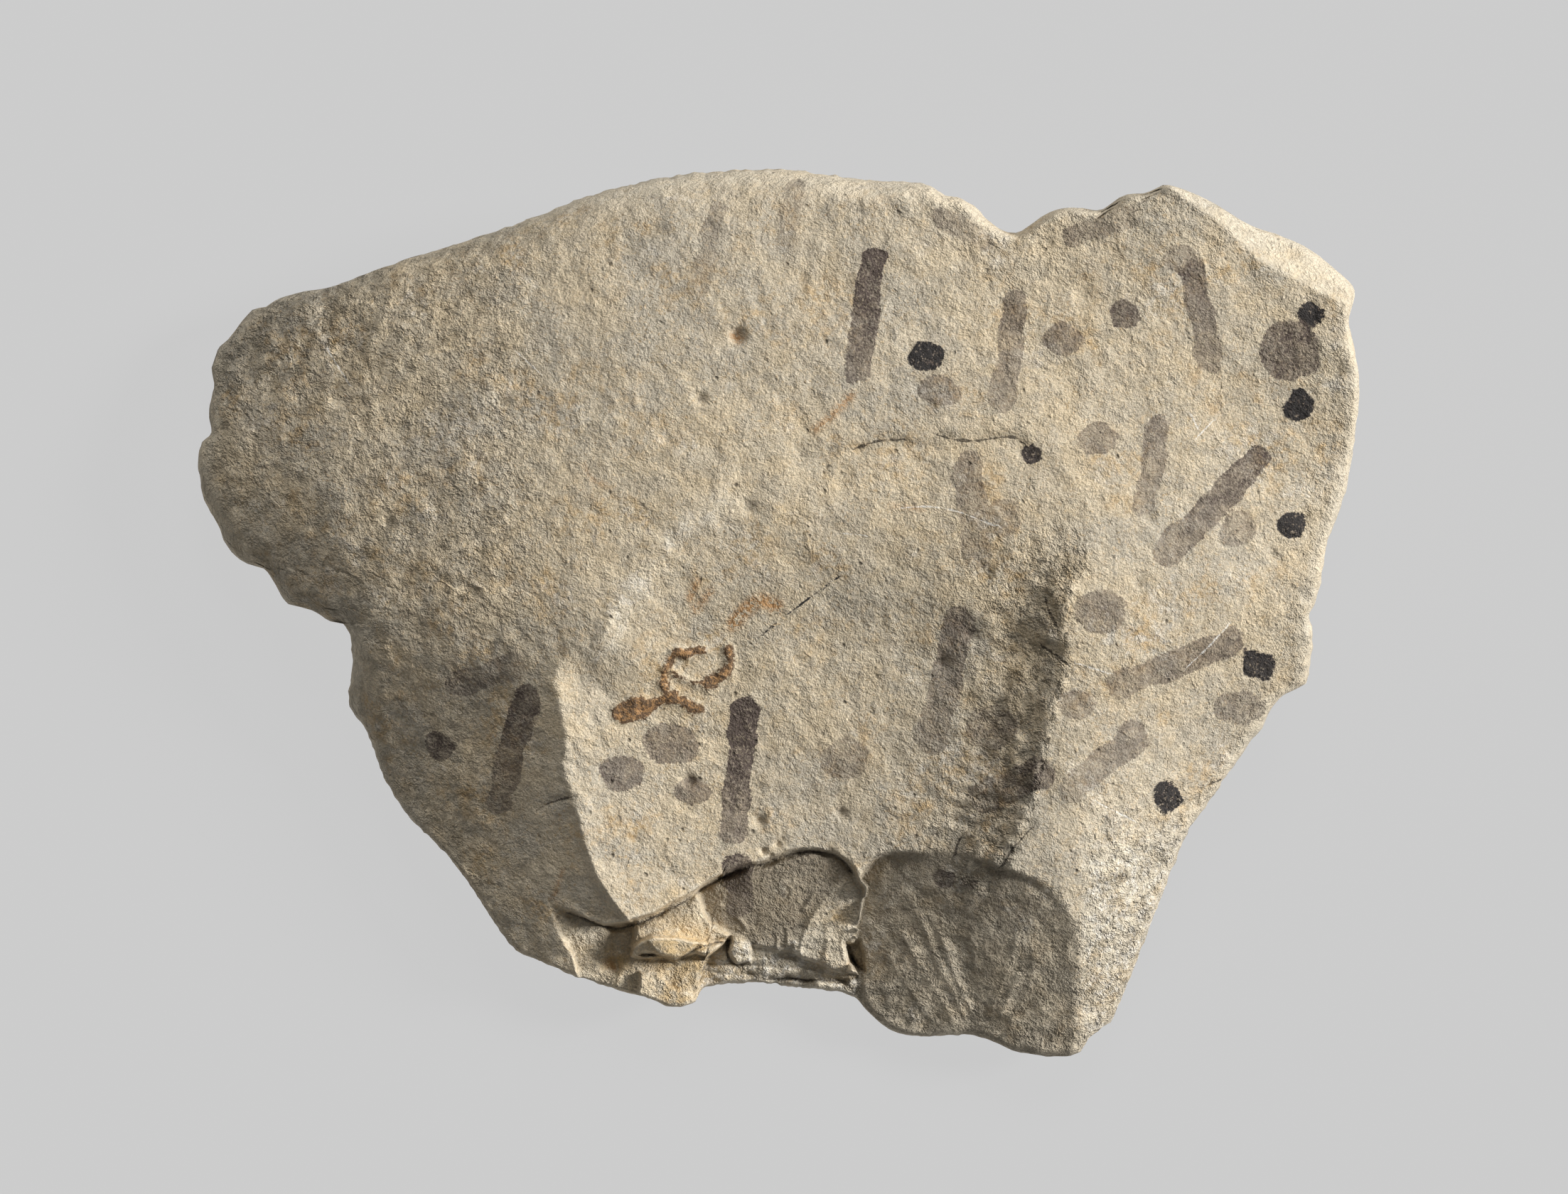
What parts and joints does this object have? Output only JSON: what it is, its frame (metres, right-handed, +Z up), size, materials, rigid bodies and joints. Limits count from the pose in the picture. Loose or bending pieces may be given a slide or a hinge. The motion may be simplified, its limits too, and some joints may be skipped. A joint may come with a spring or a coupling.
{
  "type": "limestone flake",
  "caption": "Knapped flake of pale limestone lying on its back, with a hollow broken into its upper face, a shell-shaped scar at the lower edge and faded ink marks; a display piece that rests flat",
  "frame": {"origin": "bottom of the stone, under the middle of its bounding box", "axes": "+X along the stone's length toward its squarer end, +Y toward its long curved edge, +Z up through the inked face"},
  "size_m": [0.15, 0.115, 0.0315],
  "materials": {
    "limestone": "matte"
  },
  "bodies": {
    "root": {"limestone_flake": "limestone"}
  },
  "joints": []
}
